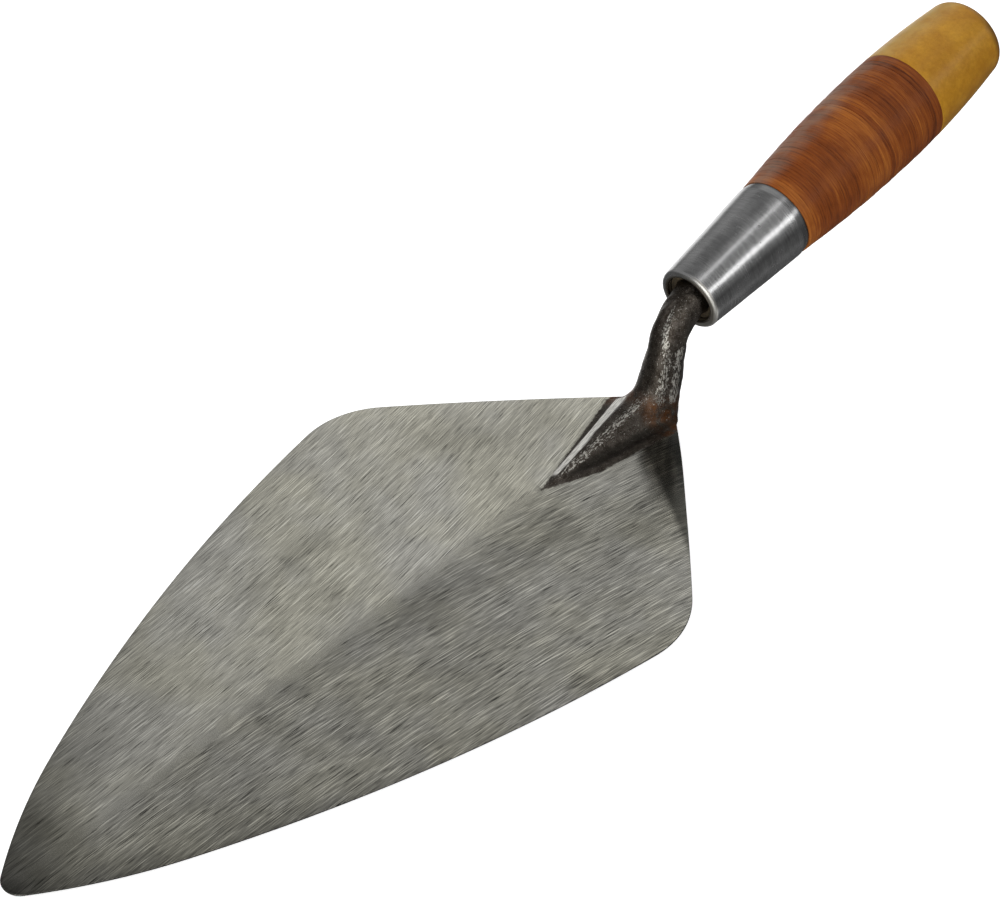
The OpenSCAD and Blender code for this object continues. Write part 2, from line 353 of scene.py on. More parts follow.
def surface_net(field, low, high, step):
    """A quad mesh of the surface where a field is zero, inside a box, by naive surface nets."""
    counts = np.ceil((high - low) / step).astype(int) + 1
    axes = [low[i] + step * np.arange(counts[i]) for i in range(3)]
    grid = np.stack(np.meshgrid(*axes, indexing="ij"), -1)
    values = field(grid.reshape(-1, 3)).reshape(counts)
    inside = values < 0

    # One point for each cell that the surface crosses: the mean of its edge crossings.
    total = np.zeros([*(counts - 1), 3])
    crossings = np.zeros(counts - 1)
    for first in np.ndindex(2, 2, 2):
        for axis in range(3):
            if first[axis] == 1:
                continue
            second = tuple(c + (i == axis) for i, c in enumerate(first))
            here = tuple(slice(c, c + n - 1) for c, n in zip(first, counts))
            there = tuple(slice(c, c + n - 1) for c, n in zip(second, counts))
            crossed = inside[here] != inside[there]
            share = values[here] / np.where(crossed, values[here] - values[there], 1)
            place = np.array(first) + share[..., None] * (np.arange(3) == axis)
            total += np.where(crossed[..., None], place, 0)
            crossings += crossed
    used = crossings > 0
    index = np.full(counts - 1, -1)
    index[used] = np.arange(used.sum())
    points = low + step * (np.argwhere(used) + total[used] / crossings[used][:, None])

    # One face for each grid edge that the surface crosses, through the four cells around it.
    faces = []
    for axis in range(3):
        along = np.arange(3) == axis
        du, dv = (np.roll(along, 1) * 1, np.roll(along, 2) * 1)
        lower = tuple(slice(0, n - 1) if i == axis else slice(1, n - 1) for i, n in enumerate(counts))
        upper = tuple(slice(1, n) if i == axis else slice(1, n - 1) for i, n in enumerate(counts))
        base = np.argwhere(inside[lower] != inside[upper]) + (1 - along)
        corners = [index[tuple((base - shift).T)] for shift in (du + dv, dv, 0 * du, du)]
        quads = np.stack(corners, 1)
        flipped = ~inside[tuple(base.T)]
        quads[flipped] = quads[flipped][:, ::-1]
        faces += quads.tolist()
    return points, faces


# ---------------------------------------------------------------- blade plate

# The toe, the front and rear of the long edge, the shoulder and the heel edge: radius and turn in degrees.
EDGE_ARCS = [(5.7, 53.4), (193, 13.3), (620, 14.3), (32.7, 49.2), (1140, 4.1)]


def arc_points(start, heading, radius, turn, steps):
    """Points along an arc that leaves start in a heading and turns left by an angle in degrees."""
    now = np.radians(heading + turn * np.arange(1, steps + 1) / steps)
    first = math.radians(heading)
    return start + radius * np.stack([np.sin(now) - math.sin(first), math.cos(first) - np.cos(now)], 1)


def blade_outline():
    """The outline as tangent arcs from the toe round the left side, mirrored and scaled to the frame."""
    points, heading = [np.zeros(2)], 90.0
    for radius, turn in EDGE_ARCS:
        steps = max(6, int(radius * math.radians(turn) / 1.2))
        points.extend(arc_points(points[-1], heading, radius, turn, steps))
        heading += turn
    corner_radius = -points[-1][1] / math.cos(math.radians(heading))
    points.extend(arc_points(points[-1], heading, corner_radius, 270 - heading, 12))
    left = np.array(points)
    left[:, 0] = blade_length * (1 - left[:, 0] / left[-1, 0])
    left[:, 1] *= blade_half_width / left[:, 1].max()
    right = left[-2:0:-1] * [1, -1]
    # The left heel edge was ground a little fuller than the right one.
    left[:, 1] += 0.55 * np.exp(-(((left[:, 0] - 15) / 14) ** 2)) * np.clip(left[:, 1] / 8, 0, 1)
    return np.concatenate([left, right])


def distance_to_outline(points, outline):
    """Distance of each point to a closed outline."""
    best = np.full(len(points), np.inf)
    for a, b in zip(outline, np.roll(outline, -1, 0)):
        side = b - a
        t = np.clip((points - a) @ side / (side @ side), 0, 1)
        best = np.minimum(best, np.linalg.norm(points - a - t[:, None] * side, axis=1))
    return best


def inside_outline(points, outline):
    """Which points lie inside a closed outline."""
    odd = np.zeros(len(points), bool)
    for a, b in zip(outline, np.roll(outline, -1, 0)):
        if a[1] != b[1]:
            crosses = (a[1] > points[:, 1]) != (b[1] > points[:, 1])
            odd ^= crosses & (points[:, 0] < a[0] + (points[:, 1] - a[1]) * (b[0] - a[0]) / (b[1] - a[1]))
    return odd


def plate_mesh():
    """The blade: flat below, thinned towards its edge above, with a rounded rim."""
    outline = blade_outline()
    count = len(outline)
    tangent = np.roll(outline, -1, 0) - np.roll(outline, 1, 0)
    inward = np.stack([-tangent[:, 1], tangent[:, 0]], 1) / np.linalg.norm(tangent, axis=1)[:, None]

    # Rings that follow the edge, then an even grid of points in the middle.
    spacing = 3.5
    rings = [outline + inward * RIM_ROUNDING]
    for inset in (1.0, 2.5, 5.0, RIM_REACH):
        ring = outline + inward * inset
        rings.append(ring[distance_to_outline(ring, outline) > 0.97 * inset])
    xs, ys = np.meshgrid(
        np.arange(spacing, blade_length, spacing * 0.87),
        np.arange(-blade_half_width, blade_half_width, spacing),
        indexing="ij",
    )
    ys = ys + (np.arange(len(xs)) % 2)[:, None] * spacing / 2
    grid = np.stack([xs.ravel(), ys.ravel()], 1)
    grid = grid[inside_outline(grid, outline)]
    grid = grid[distance_to_outline(grid, outline) > RIM_REACH + spacing / 3]
    loop = [(i, (i + 1) % count) for i in range(count)]
    flat = [Vector(p) for p in np.concatenate([*rings, grid])]
    flat, _, triangles, _, _, _ = delaunay_2d_cdt(flat, loop, [], 1, 1e-6)
    flat = np.array([tuple(v) for v in flat])

    height = top_height(flat[:, 0]) * thinning(distance_to_outline(flat, outline))
    top = np.column_stack([flat, height])
    bottom = np.column_stack([flat, np.zeros(len(flat))])
    faces = [tuple(t) for t in triangles]
    faces += [tuple(i + len(flat) for i in reversed(t)) for t in triangles]

    # The rim: a quarter arc down from the top face, and one in to the underside.
    rows = []
    angles = np.radians([67.5, 45, 22.5, 0])
    for angle in angles:
        edge = outline + inward * RIM_ROUNDING * (1 - math.cos(angle))
        rows.append(np.column_stack([edge, height[:count] - RIM_ROUNDING * (1 - math.sin(angle))]))
    for angle in angles[::-1]:
        edge = outline + inward * RIM_ROUNDING * (1 - math.cos(angle))
        rows.append(np.column_stack([edge, np.full(count, RIM_ROUNDING * (1 - math.sin(angle)))]))
    starts = [0, *(2 * len(flat) + k * count for k in range(len(rows))), len(flat)]
    for first, second in zip(starts, starts[1:]):
        for i in range(count):
            j = (i + 1) % count
            faces.append((first + i, second + i, second + j, first + j))
    return np.concatenate([top, bottom, *rows]), faces


def build_forging(material):
    """Blade, spur, shank and tang as one piece."""
    step = 0.45
    plate = make_object("plate", *plate_mesh(), material)
    # The box around the shank and the spur.
    low, high = np.array([-22.0, -16.0, -0.6]), np.array([64.0, 16.0, 46.0])
    shank = make_object("shank", *surface_net(forging_field, low, high, step), material)
    taper = [(TAPER_START, 0, 0), (TAPER_START, NECK_RADIUS - 0.35, 0),
             (tang_end, TANG_END_RADIUS, 0.4), (tang_end, 0, 0)]
    tang = lathe("tang", rounded_profile(taper, longest=6), material, segments=48)
    forging = joined("blade_and_shank", [shank, plate, tang])
    return fit_out(forging, "blade_steel", "blade_and_tang")


# ---------------------------------------------------------------- handle pieces


def around_handle(along, angle, radius):
    """Points in millimetres at places along, around and away from the handle's line."""
    return np.column_stack([along, radius * np.cos(angle), radius * np.sin(angle)])


def build_ferrule(material):
    """The tapered ferrule with its rounded lip, tapered bore and crimped end."""
    start, end, _, crimp_radius, hole_radius = end_radii("ferrule")
    points = node_points("ferrule") - mouth
    along = points @ handle_along
    radius = np.linalg.norm(points - along[:, None] * handle_along, axis=1)
    rear_radius = radius.max()
    crimp_start = along[radius > rear_radius - 0.01].max()
    mouth_radius = radius[along < 3].max()
    wall = 1.6
    plug_start = end_radii("ferrule_plug")[0]
    profile = rounded_profile([
        (start, mouth_radius, 1.25),
        (crimp_start, rear_radius, 4.0),
        (end, crimp_radius, 0.25),
        (end, crimp_radius - wall, 0.1),
        (crimp_start, crimp_radius - wall, 0),
        (crimp_start, rear_radius - wall, 0),
        (plug_start, hole_radius, 0),
        (start, hole_radius, 0.5),
    ])

    def polish(along, angle, radius):
        p = around_handle(along, angle, radius)
        return 0.035 * waves(p, 9, 22, 10, seed=11) + 0.008 * waves(p, 3, 6, 14, seed=12)

    ferrule = lathe("steel_ferrule", profile, material, segments=224, wobble=polish)
    return fit_out(ferrule, "ferrule_steel", "ferrule")


# Depth of the countersink at the front of the plug's hole, and its extra radius at the rim.
PLUG_COUNTERSINK = 2.0
PLUG_FLARE = 0.6


def build_plug(material):
    """The wooden plug, a little sunk in the ferrule's mouth."""
    start, end, front_radius, rear_radius, hole_radius = end_radii("ferrule_plug")
    profile = rounded_profile([
        (start, front_radius, 0.3),
        (end, rear_radius, 0.4),
        (end, hole_radius, 0.2),
        (start + PLUG_COUNTERSINK, hole_radius, 0),
        (start, hole_radius + PLUG_FLARE, 0.2),
    ])
    plug = lathe("wooden_plug", profile, material, segments=96)
    return fit_out(plug, "plug_wood", "ferrule_plug")


def grip_curve():
    """The grip's outer radius along the handle, as a smooth curve through the CAD pieces."""
    table = []
    for node in washer_nodes:
        start, end, start_radius, end_radius, _ = end_radii(node)
        table += [(start, start_radius), (end, end_radius)]
    return np.polynomial.Polynomial.fit(*np.array(table).T, 4)


def build_washers(material):
    """Leather washers, each with its own edge rounding, slight swelling and tone."""
    random = np.random.default_rng(21)
    curve = grip_curve()
    for node in washer_nodes:
        start, end, _, _, hole_radius = end_radii(node)
        rounding = 0.12 + 0.28 * random.uniform(0, 1) ** 2
        proud = random.uniform(-0.05, 0.05)
        phase = random.uniform(0, 2 * math.pi)
        lean = random.uniform(-0.03, 0.03)
        profile = rounded_profile([
            (start, curve(start) + proud - lean, rounding),
            (end, curve(end) + proud + lean, rounding * random.uniform(0.5, 1)),
            (end, hole_radius, 0),
            (start, hole_radius, 0),
        ], longest=0.7)

        def worn(along, angle, radius):
            outer = np.clip((radius - hole_radius) / 4, 0, 1)
            swell = np.cos(2 * angle + phase) + waves(around_handle(along, angle, radius), 2, 5, 12, seed=22)
            return 0.02 * outer * swell

        number = node.rsplit("_", 1)[1]
        washer = lathe("leather_disc_" + number, profile, material, wobble=worn)
        washer["tone"] = random.uniform(0, 1)
        fit_out(washer, "leather", node)


def build_cap(material):
    """The butt cap, with a rounded end and a blind hole for the tang."""
    rounding = 4.5
    start, end, _, flat_radius, hole_radius = end_radii("butt_cap")
    points = node_points("butt_cap") - mouth
    along = points @ handle_along
    radius = np.linalg.norm(points - along[:, None] * handle_along, axis=1)
    outer = radius > flat_radius + 0.01
    side = outer & (along < end - rounding + 0.01)
    curve = np.polynomial.Polynomial.fit(along[side], radius[side], 3)
    hole_end = along[radius < hole_radius + 0.01].max()
    edge = [(start, hole_radius, 0.1), (start, curve(start), 0.15)]
    edge += [(s, curve(s), 0) for s in np.linspace(start, end - rounding, 24)[1:]]
    centre_radius = curve(end - rounding) - rounding
    for turn in np.radians(np.arange(7.5, 90.1, 7.5)):
        edge.append((end - rounding * (1 - math.sin(turn)), centre_radius + rounding * math.cos(turn), 0))
    edge += [(end, 0, 0), (hole_end, 0, 0), (hole_end, hole_radius, 0.3)]
    cap = lathe("amber_cap", rounded_profile(edge), material, segments=192)
    return fit_out(cap, "amber_cap", "butt_cap")


# ---------------------------------------------------------------- materials


class Shader:
    """Adds nodes to a material's or the world's node tree, with one call for each node."""

    def __init__(self, tree):
        self.tree = tree
        tree.nodes.clear()

    def node(self, kind, inputs, **settings):
        made = self.tree.nodes.new("ShaderNode" + kind)
        for name, value in settings.items():
            setattr(made, name, value)
        for slot, value in inputs.items():
            if isinstance(value, bpy.types.NodeSocket):
                self.tree.links.new(value, made.inputs[slot])
            else:
                made.inputs[slot].default_value = value
        return made

    def math(self, operation, *values):
        return self.node("Math", dict(enumerate(values)), operation=operation).outputs[0]

    def add(self, *values):
        total = values[0]
        for value in values[1:]:
            total = self.math("ADD", total, value)
        return total

    def times(self, *values):
        total = values[0]
        for value in values[1:]:
            total = self.math("MULTIPLY", total, value)
        return total

    def weighted(self, constant, *terms):
        """A constant plus each (value, weight) term."""
        return self.add(constant, *(self.times(value, weight) for value, weight in terms))

    def ramp(self, value, low, high, start=0.0, end=1.0):
        """A smooth step from start at low to end at high."""
        inputs = {0: value, 1: low, 2: high, 3: start, 4: end}
        return self.node("MapRange", inputs, interpolation_type="SMOOTHSTEP").outputs[0]

    def mix(self, share, a, b):
        """A colour between a and b."""
        return self.node("Mix", {0: share, 6: a, 7: b}, data_type="RGBA").outputs[2]

    def blend(self, share, a, b):
        """A number between a and b."""
        return self.node("Mix", {0: share, 2: a, 3: b}, data_type="FLOAT").outputs[0]

    def noise(self, vector, scale=1.0, detail=2.0, roughness=0.5):
        inputs = {"Vector": vector, "Scale": scale, "Detail": detail, "Roughness": roughness}
        return self.node("TexNoise", inputs).outputs[0]

    def combine(self, x, y, z=0.0):
        return self.node("CombineXYZ", {0: x, 1: y, 2: z}).outputs[0]

    def split(self, vector):
        return self.node("SeparateXYZ", {0: vector}).outputs

    def dot(self, vector, axis):
        product = self.node("VectorMath", {0: vector, 1: axis.tolist()}, operation="DOT_PRODUCT")
        return product.outputs["Value"]

    def position(self):
        """The object's own coordinates in millimetres."""
        place = self.node("TexCoord", {}).outputs["Object"]
        return self.node("VectorMath", {0: place, "Scale": 1 / MM}, operation="SCALE").outputs[0]

    def along_and_around(self, position):
        """Coordinates along the handle, then the unit direction around it, and distance from its line."""
        offset = self.node("VectorMath", {0: position, 1: mouth.tolist()}, operation="SUBTRACT").outputs[0]

        along, over, left = (self.dot(offset, axis) for axis in (handle_along, handle_over, handle_left))
        radius = self.math("SQRT", self.add(self.times(over, over), self.times(left, left)))
        return along, self.math("DIVIDE", over, radius), self.math("DIVIDE", left, radius), radius

    def near_line(self, x, y, start, end, reach):
        """A soft mask: 1 on a line between two points of the plan, falling to 0 at the given reach."""
        start, end = np.array(start, float), np.array(end, float)
        side = end - start
        dx, dy = self.add(x, -start[0]), self.add(y, -start[1])
        share = self.times(self.weighted(0.0, (dx, side[0]), (dy, side[1])), 1 / (side @ side))
        share = self.math("MINIMUM", self.math("MAXIMUM", share, 0.0), 1.0)
        away_x = self.math("SUBTRACT", dx, self.times(share, side[0]))
        away_y = self.math("SUBTRACT", dy, self.times(share, side[1]))
        distance = self.math("SQRT", self.add(self.times(away_x, away_x), self.times(away_y, away_y)))
        return self.ramp(distance, reach, 0.0)

    def bump(self, height, distance):
        """Surface relief from a height between 0 and 1, over a depth in millimetres."""
        return self.node("Bump", {"Height": height, "Distance": distance * MM, "Strength": 1.0}).outputs[0]

    def surface(self, **inputs):
        """Ends the material with a principled surface."""
        names = {name.replace("_", " "): value for name, value in inputs.items()}
        shader = self.node("BsdfPrincipled", names)
        self.node("OutputMaterial", {"Surface": shader.outputs[0]})


def new_material(name):
    material = bpy.data.materials.new(name)
    material.use_nodes = True
    return material, Shader(material.node_tree)


def grey(level):
    return (level, level, level, 1.0)


# Painted reflections on the blade, as lines on its plan: start, end, reach and darkening (below zero:
# brighter).
PAINTED_REFLECTIONS = [
    ((70, 15), (125, 8), 15, 0.20),
    ((118, 7), (172, 3), 10, 0.12),
    ((200, -22), (226, -20), 9, 0.14),
    ((236, -20), (248, -15), 18, 0.28),
    ((262, -7), (278, 0), 20, 0.60),
    ((122, -34), (157, -33), 7, 0.22),
    ((100, 30), (200, 22), 12, 0.08),
    ((62, 40), (88, 60), 14, -0.06),
    ((36, -20), (60, -36), 20, 0.19),
    ((40, 27), (68, 38), 16, 0.20),
]


def brushed_blade(shade, position):
    """Colour, roughness, relief and direction of blur of the ground and brushed blade."""
    x, y, z = shade.split(position)
    # The two halves are brushed at mirrored angles that straighten out towards the toe.
    bow = shade.weighted(0.0, (x, 0.231), (shade.times(x, x), -0.231 / 500))
    drift = shade.noise(position, 0.02, 2.0)
    half = shade.ramp(shade.weighted(-3.0, (y, 1.0), (drift, 6.0)), -1.5, 1.5)
    dull_side = shade.ramp(shade.weighted(-2.6, (y, 1.0), (drift, 6.0)), -4.0, 4.0)
    across = shade.add(y, shade.times(bow, shade.blend(half, -1.0, 1.0)))
    seed = shade.times(half, 40.0)

    def grain(length, width, shift, detail=2.0):
        return shade.noise(
            shade.combine(shade.times(x, 1 / length), shade.times(across, 1 / width), shade.add(seed, shift)),
            1.0, detail, 0.6)

    hair = grain(6.0, 0.16, 0.0, 1.0)
    fine = grain(10.0, 0.30, 5.0)
    light_lines = shade.ramp(grain(17.0, 0.28, 21.0), 0.56, 0.64)
    dark_lines = shade.ramp(grain(12.0, 0.28, 33.0), 0.57, 0.65)
    coarse = grain(30.0, 2.0, 13.0)
    patches = shade.noise(position, 0.035, 3.0, 0.55)

    marks = [
        shade.times(shade.near_line(x, y, start, end, reach), darkening)
        for start, end, reach, darkening in PAINTED_REFLECTIONS
    ]
    # Painted shade: the handle's dark reflection, a wedge along the left heel edge with a straight front.
    painted_handle_reflection = shade.ramp(shade.weighted(-12.15, (x, 0.823), (y, -0.57)), 1.3, -1.6)
    dark = shade.add(*marks, shade.times(painted_handle_reflection, shade.ramp(y, 4, 10), 0.66))
    even_tone = shade.weighted(
        -0.31, (dull_side, -0.17), (hair, 0.6), (fine, 0.75), (light_lines, 0.40), (dark_lines, -0.38),
        (coarse, 0.14), (patches, 0.20))
    # The outer wall of the edge is painted dark: painted shade.
    level = shade.math("DIVIDE", z, shade.weighted(RIM_SHARE * HEEL_THICKNESS, (x, EDGE_FALL)))
    wall = shade.times(shade.ramp(level, 0.82, 0.62), shade.ramp(z, 0.005, 0.05))
    shaded = shade.times(shade.weighted(1.0, (dark, -1.0)), shade.weighted(1.0, (wall, -0.85)))
    tone = shade.times(shade.math("MAXIMUM", even_tone, 0.04), shaded)
    warm = shade.mix(
        shade.ramp(shade.noise(position, 0.022, 3.0, 0.6), 0.35, 0.65),
        (1.0, 0.982, 0.89, 1.0), (1.0, 0.972, 0.82, 1.0))
    colour = shade.node("VectorMath", {0: warm, "Scale": tone}, operation="SCALE").outputs[0]
    roughness = shade.weighted(0.13, (fine, 0.14))
    relief = shade.weighted(0.0, (hair, 0.4), (fine, 0.6))
    # Reflections spread across the grain.
    spread_direction = shade.combine(shade.times(shade.blend(half, -1.0, 1.0), 0.2), 1.0, 0.0)
    return colour, roughness, relief, spread_direction


def scaled_area(shade, position):
    """Where forge scale covers the steel: the shank, and a pointed patch around the spur."""
    x, y, z = shade.split(position)
    ragged = shade.weighted(
        -1.7, (shade.noise(position, 0.5, 4.0, 0.65), 2.0), (shade.noise(position, 2.4, 3.0, 0.65), 1.6))
    right_edge = shade.weighted(16.2, (y, 1.0), (x, -0.272))
    left_front = shade.weighted(13.7, (y, -1.0), (x, -0.155))
    left_rear = shade.weighted(23.5, (y, -1.0), (x, -0.40))
    left_edge = shade.math("MINIMUM", left_front, left_rear)
    patch = shade.add(shade.math("MINIMUM", right_edge, left_edge), ragged)
    above = shade.math("SUBTRACT", z, 2.2)
    behind = shade.math("SUBTRACT", 9.0, shade.add(x, shade.math("ABSOLUTE", y)))
    scaled = shade.ramp(shade.math("MAXIMUM", patch, shade.math("MAXIMUM", above, behind)), -0.35, 0.35)
    on_top = shade.ramp(z, 0.25, 0.5)
    return shade.times(scaled, on_top), left_edge


def forge_scale(shade, position, left_edge):
    """Colour, roughness and relief of scale: near black, browner where it rusts, worn on the crest and on two
    shank bands set where its highlights fall (partly painted highlight), with painted shade in the crease by
    the spur.
    """
    x, y, z = shade.split(position)
    mottle = shade.noise(position, 0.4, 5.0, 0.68)
    pits = shade.noise(position, 2.0, 3.0, 0.65)
    colour = shade.mix(
        shade.ramp(mottle, 0.35, 0.7), (0.060, 0.049, 0.039, 1.0), (0.155, 0.136, 0.116, 1.0))
    colour = shade.mix(shade.ramp(pits, 0.50, 0.75), colour, (0.24, 0.21, 0.18, 1.0))
    rusty = shade.ramp(shade.noise(position, 0.28, 4.0, 0.65), 0.34, 0.56)
    rust = shade.times(shade.ramp(z, 12.0, 6.0), shade.ramp(x, 17.0, 9.0), rusty)
    colour = shade.mix(shade.times(rust, 0.85), colour, (0.190, 0.078, 0.028, 1.0))

    # Places around the shank, as an angle from straight ahead towards the left.
    side = shade.math("ARCTAN2", y, shade.weighted(-4.7, (x, 1.0), (z, 0.171)))
    # Two bands down the shank where wear shows bare metal, placed where the shank's highlights fall: real
    # wear and partly painted highlight.
    front_wear_glint = shade.weighted(-0.75, (side, 1.0), (shade.ramp(z, 22.0, 34.0), 0.55))
    front_wear_glint = shade.ramp(shade.math("ABSOLUTE", front_wear_glint), 0.40, 0.10)
    left_wear_glint = shade.ramp(shade.math("ABSOLUTE", shade.add(side, -1.42)), 0.40, 0.12)
    left_wear_glint = shade.times(left_wear_glint, shade.ramp(z, 29.0, 25.0), 1.25)
    on_wear_glints = shade.times(shade.math("MAXIMUM", front_wear_glint, left_wear_glint), shade.ramp(z, 6.0, 9.0))
    crest = shade.ramp(shade.math("ABSOLUTE", shade.weighted(0.2, (y, 1.0), (x, -0.01))), 2.0, 0.4)
    on_crest = shade.times(crest, shade.ramp(z, 1.9, 2.8), shade.ramp(z, 10.0, 8.0))

    upright = shade.noise(
        shade.combine(shade.times(x, 1.9), shade.times(y, 1.9), shade.times(z, 0.7)), 1.0, 4.0, 0.7)
    lengthwise = shade.noise(
        shade.combine(shade.times(x, 0.7), shade.times(y, 1.9), shade.times(z, 1.9)), 1.0, 4.0, 0.7)
    # Worn bare metal on the crest and on the two shank bands; on the bands it is partly painted highlight.
    worn = shade.math(
        "MAXIMUM",
        shade.ramp(shade.weighted(0.0, (upright, 1.0), (on_wear_glints, 0.15)), 0.64, 0.70),
        shade.ramp(shade.weighted(0.0, (lengthwise, 1.0), (on_crest, 0.14)), 0.63, 0.70))
    colour = shade.mix(worn, colour, (0.78, 0.75, 0.68, 1.0))
    # Painted shade: the crease along the spur's left foot, where it meets the blade, is painted near black.
    crease = shade.times(
        shade.ramp(z, 3.4, 1.9), shade.ramp(y, 0.5, 2.0), shade.ramp(left_edge, 1.5, 3.5))
    colour = shade.mix(shade.times(crease, 0.75), colour, (0.02, 0.018, 0.015, 1.0))
    roughness = shade.weighted(0.26, (mottle, 0.20), (worn, -0.04))
    relief = shade.weighted(0.0, (mottle, 0.5), (pits, 0.35), (upright, 0.3))
    return colour, roughness, relief


def ground_flat(shade, position):
    """Where the spur's right flank shows as a bright ground flat, and its colour."""
    x, y, z = shade.split(position)
    height, slope_along, slope_across = GROUND_PLANE
    cut = shade.weighted(-height, (z, 1.0), (x, -slope_along), (y, -slope_across))
    # Scale is left in the grooves below and above it, which widen towards the heel.
    above_groove = shade.weighted(-3.15, (z, 1.0), (x, 0.032))
    below_groove = shade.weighted(7.6, (z, -1.0), (x, -0.096))
    flank = shade.times(
        shade.ramp(shade.math("ABSOLUTE", cut), 0.62, 0.42),
        shade.ramp(above_groove, -0.1, 0.1), shade.ramp(below_groove, -0.3, 0.3),
        shade.ramp(x, GROUND_START - 0.8, GROUND_START + 0.2),
        shade.ramp(x, 53.0, 50.0), shade.ramp(y, 1.2, 0.2))
    grain = shade.noise(
        shade.combine(shade.times(x, 0.12), shade.times(y, 2.2), shade.times(z, 2.2)), 1.0, 2.0)
    colour = shade.mix(shade.ramp(grain, 0.35, 0.62), (0.50, 0.49, 0.46, 1.0), (0.96, 0.94, 0.88, 1.0))
    return flank, colour


def steel_material():
    """Brushed blade, black forge scale on the shank and spur, and the spur's bright ground flank."""
    material, shade = new_material("trowel_steel")
    position = shade.position()
    blade_colour, blade_roughness, blade_relief, spread_direction = brushed_blade(shade, position)
    scaled, left_edge = scaled_area(shade, position)
    scale_colour, scale_roughness, scale_relief = forge_scale(shade, position, left_edge)
    flank, flank_colour = ground_flat(shade, position)

    colour = shade.mix(flank, shade.mix(scaled, blade_colour, scale_colour), flank_colour)
    roughness = shade.blend(flank, shade.blend(scaled, blade_roughness, scale_roughness), 0.32)
    rough_skin = shade.times(scaled, shade.math("SUBTRACT", 1.0, flank))
    relief = shade.bump(shade.blend(rough_skin, 0.6, scale_relief), 0.45)
    fine_relief = shade.node(
        "Bump", {"Height": blade_relief, "Distance": 0.006 * MM, "Normal": relief}).outputs[0]
    shine = shade.combine(*unit(GROUND_SHINE).tolist())
    normal = shade.node(
        "Mix", {0: shade.times(flank, 0.92), 4: fine_relief, 5: shine}, data_type="VECTOR").outputs[1]
    anisotropy = shade.blend(scaled, 0.55, 0.0)
    shade.surface(
        Base_Color=colour, Metallic=1.0, Roughness=roughness, Normal=normal, Anisotropic=anisotropy,
        Tangent=spread_direction)
    return material


def ferrule_material():
    """Satin steel, polished around the ferrule, with faint smudges, a brownish inner lip, a painted highlight
    on one side of the lip and painted shade at its rear.
    """
    material, shade = new_material("ferrule_steel")
    position = shade.position()
    along, over, left, radius = shade.along_and_around(position)
    ring = shade.combine(shade.times(along, 2.6), shade.times(over, 2.0), shade.times(left, 2.0))
    polish = shade.noise(ring, 1.0, 3.0, 0.65)
    smudge = shade.noise(position, 0.11, 4.0, 0.6)
    spots = shade.ramp(shade.noise(position, 0.42, 3.0, 0.6), 0.66, 0.74)
    tone = shade.weighted(0.22, (polish, 0.46), (smudge, 0.34), (spots, -0.22))
    inner_lip = shade.times(shade.ramp(along, 1.3, 0.5), shade.ramp(radius, 9.5, 8.9))
    steel = shade.node("VectorMath", {0: (1.0, 1.0, 1.0), "Scale": tone}, operation="SCALE").outputs[0]
    colour = shade.mix(shade.times(inner_lip, 0.75), steel, (0.16, 0.12, 0.06, 1.0))
    bore = shade.times(shade.ramp(along, 1.2, 2.4), shade.ramp(radius, 9.4, 9.0))
    colour = shade.mix(bore, colour, (0.07, 0.058, 0.038, 1.0))
    # Painted shade over the crimp's bend and at the rear end, where the leather meets the ferrule.
    painted_rear_shade = shade.weighted(
        0.0, (shade.ramp(along, 40.3, 41.4), 0.45), (shade.ramp(along, 42.8, 43.8), 0.40))
    colour = shade.mix(painted_rear_shade, colour, grey(0.06))
    # Painted highlight: the lip is pale cream on the side where it catches the light.
    lip = shade.times(shade.ramp(along, 1.5, 0.8), shade.ramp(radius, 8.7, 9.1), shade.ramp(left, -0.1, 0.5))
    colour = shade.mix(shade.times(lip, 0.8), colour, (0.96, 0.93, 0.86, 1.0))
    roughness = shade.weighted(0.10, (polish, 0.12), (smudge, 0.16), (spots, 0.2), (lip, 0.18))
    relief = shade.bump(shade.weighted(0.0, (polish, 0.6), (spots, -0.5)), 0.02)
    shade.surface(Base_Color=colour, Metallic=1.0, Roughness=roughness, Normal=relief)
    return material


def wood_material():
    """Dark, oil-soaked beech with grain along the handle."""
    material, shade = new_material("plug_wood")
    along, over, left, radius = shade.along_and_around(shade.position())
    lengthwise = shade.combine(
        shade.times(along, 0.08), shade.times(radius, over, 1.3), shade.times(radius, left, 1.3))
    grain = shade.noise(lengthwise, 1.0, 4.0, 0.65)
    colour = shade.mix(shade.ramp(grain, 0.3, 0.7), (0.050, 0.038, 0.022, 1.0), (0.120, 0.092, 0.055, 1.0))
    shade.surface(Base_Color=colour, Roughness=0.7, Normal=shade.bump(grain, 0.15))
    return material


